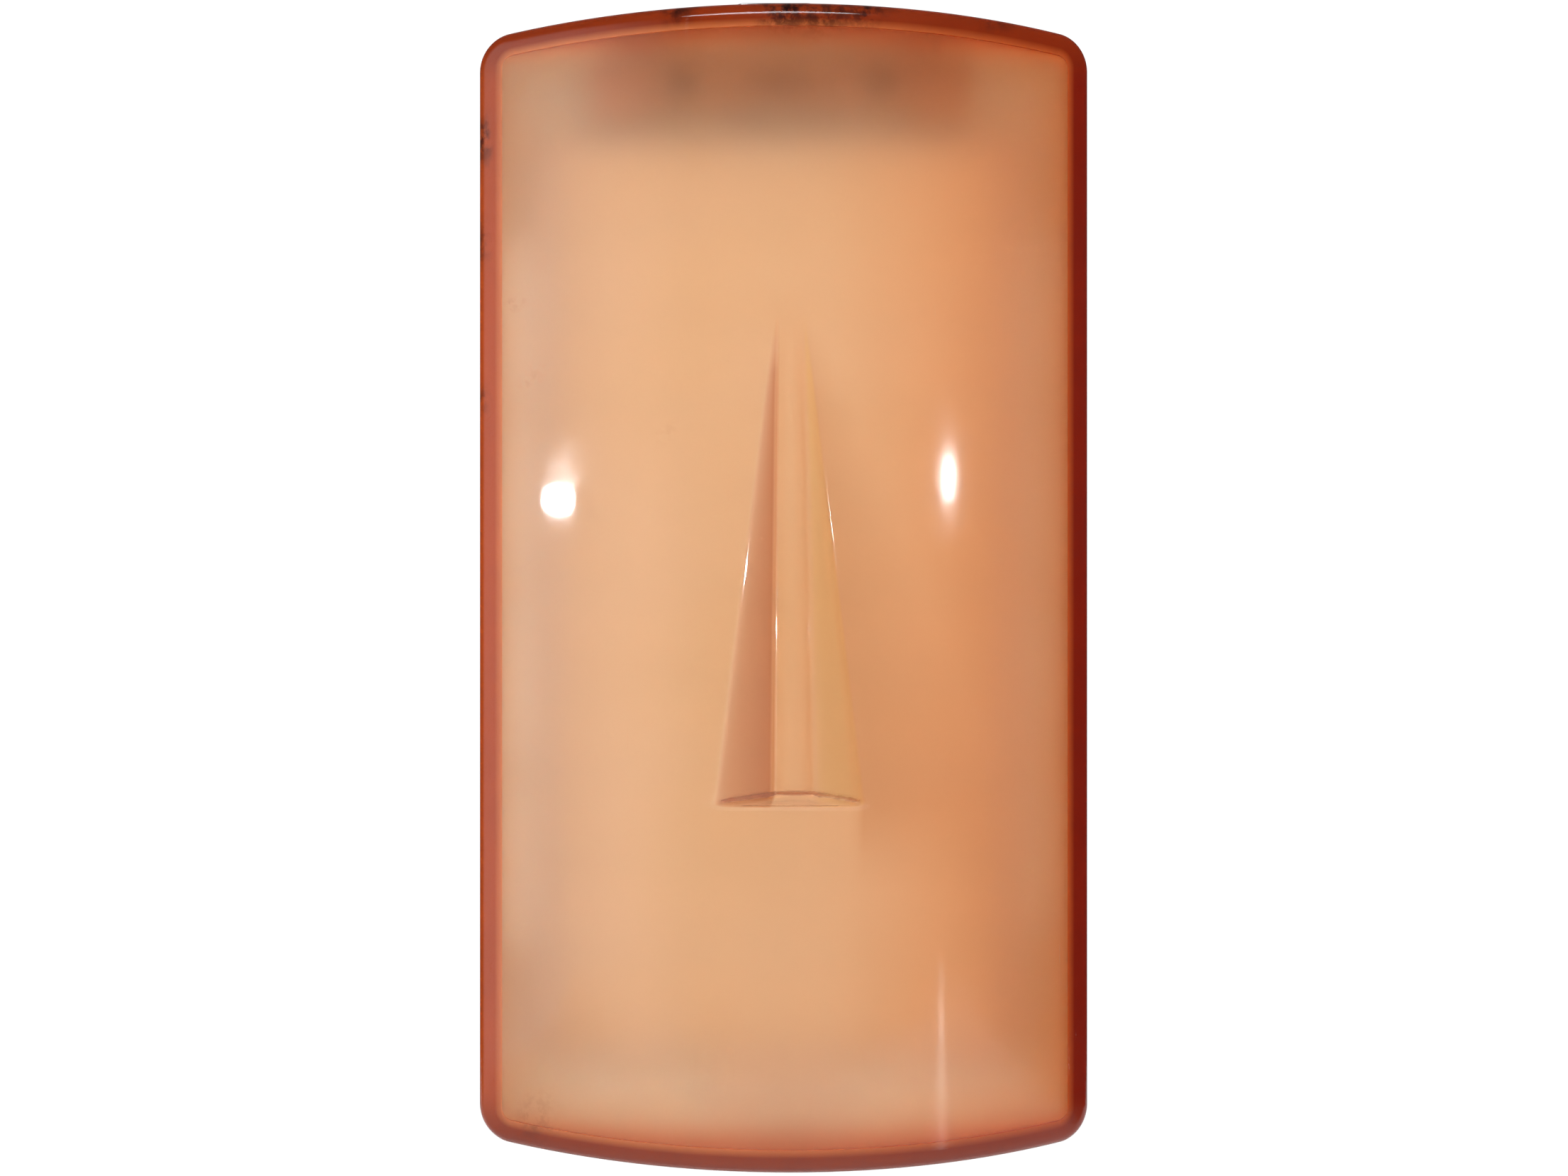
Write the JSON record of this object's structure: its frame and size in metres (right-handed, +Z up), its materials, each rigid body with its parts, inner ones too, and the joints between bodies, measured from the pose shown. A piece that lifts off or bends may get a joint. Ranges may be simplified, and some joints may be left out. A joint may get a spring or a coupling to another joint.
{
  "type": "pheromone insect trap",
  "caption": "Wall-hung insect trap: pale tray with a slide-out sticky board and plug-in lure under a bulged amber cover with a raised wedge.",
  "frame": {"origin": "centre of the tray's flat back, where it meets the wall or post", "axes": "+Z up along the trap's height, +X to the right seen from the front, the cover faces -Y"},
  "size_m": [0.13, 0.054, 0.257],
  "materials": {
    "tray_plastic": "satin moulded plastic, natural white",
    "amber_plastic": "translucent amber, glossy outside and frosted inside",
    "dark_plastic": "fine moulded texture",
    "zinc_steel": "zinc plated",
    "black_steel": "blackened, matte",
    "seal_rubber": "matt natural silicone",
    "septum_rubber": "matt natural red rubber",
    "board_card": "coated card",
    "glue": "wet tacky film",
    "cage_plastic": "natural moulded plastic"
  },
  "bodies": {
    "housing": {"tray_shell": "tray_plastic", "hanger_plate": "zinc_steel", "hanger_rivets": "zinc_steel", "hinge_block": "dark_plastic", "hinge_block_screws": "black_steel", "hinge_pins": "zinc_steel", "pin_clips": "zinc_steel", "board_rail_left": "tray_plastic", "board_rail_right": "tray_plastic", "entry_grille_left": "tray_plastic", "entry_grille_right": "tray_plastic", "rim_seal": "seal_rubber", "latch_screw": "zinc_steel", "latch_washer": "zinc_steel"},
    "cover": {"cover_shell": "amber_plastic"},
    "latch": {"latch_button": "dark_plastic"},
    "board": {"sticky_board": "board_card", "glue_film": "glue"},
    "lure": {"lure_cage": "cage_plastic", "lure_septum": "septum_rubber"},
    "lure_lid": {"lure_lid": "dark_plastic"}
  },
  "joints": [
    {"name": "cover_hinge", "type": "hinge", "parent": "housing", "child": "cover", "pos_m": [0, -0.009, 0.1236], "axis": [-1, 0, 0], "range_deg": [0, 105]},
    {"name": "latch_turn", "type": "hinge", "parent": "housing", "child": "latch", "pos_m": [0, -0.013, -0.1237], "axis": [0, 0, -1], "range_deg": [0, 90]},
    {"name": "board_slide", "type": "slide", "parent": "housing", "child": "board", "axis": [0, 0, -1], "range_m": [0, 0.225]},
    {"name": "lure_slide", "type": "slide", "parent": "housing", "child": "lure", "axis": [0, -1, 0], "range_m": [0, 0.014]},
    {"name": "lid_pull", "type": "slide", "parent": "lure", "child": "lure_lid", "axis": [0, -1, 0], "range_m": [0, 0.008]}
  ]
}
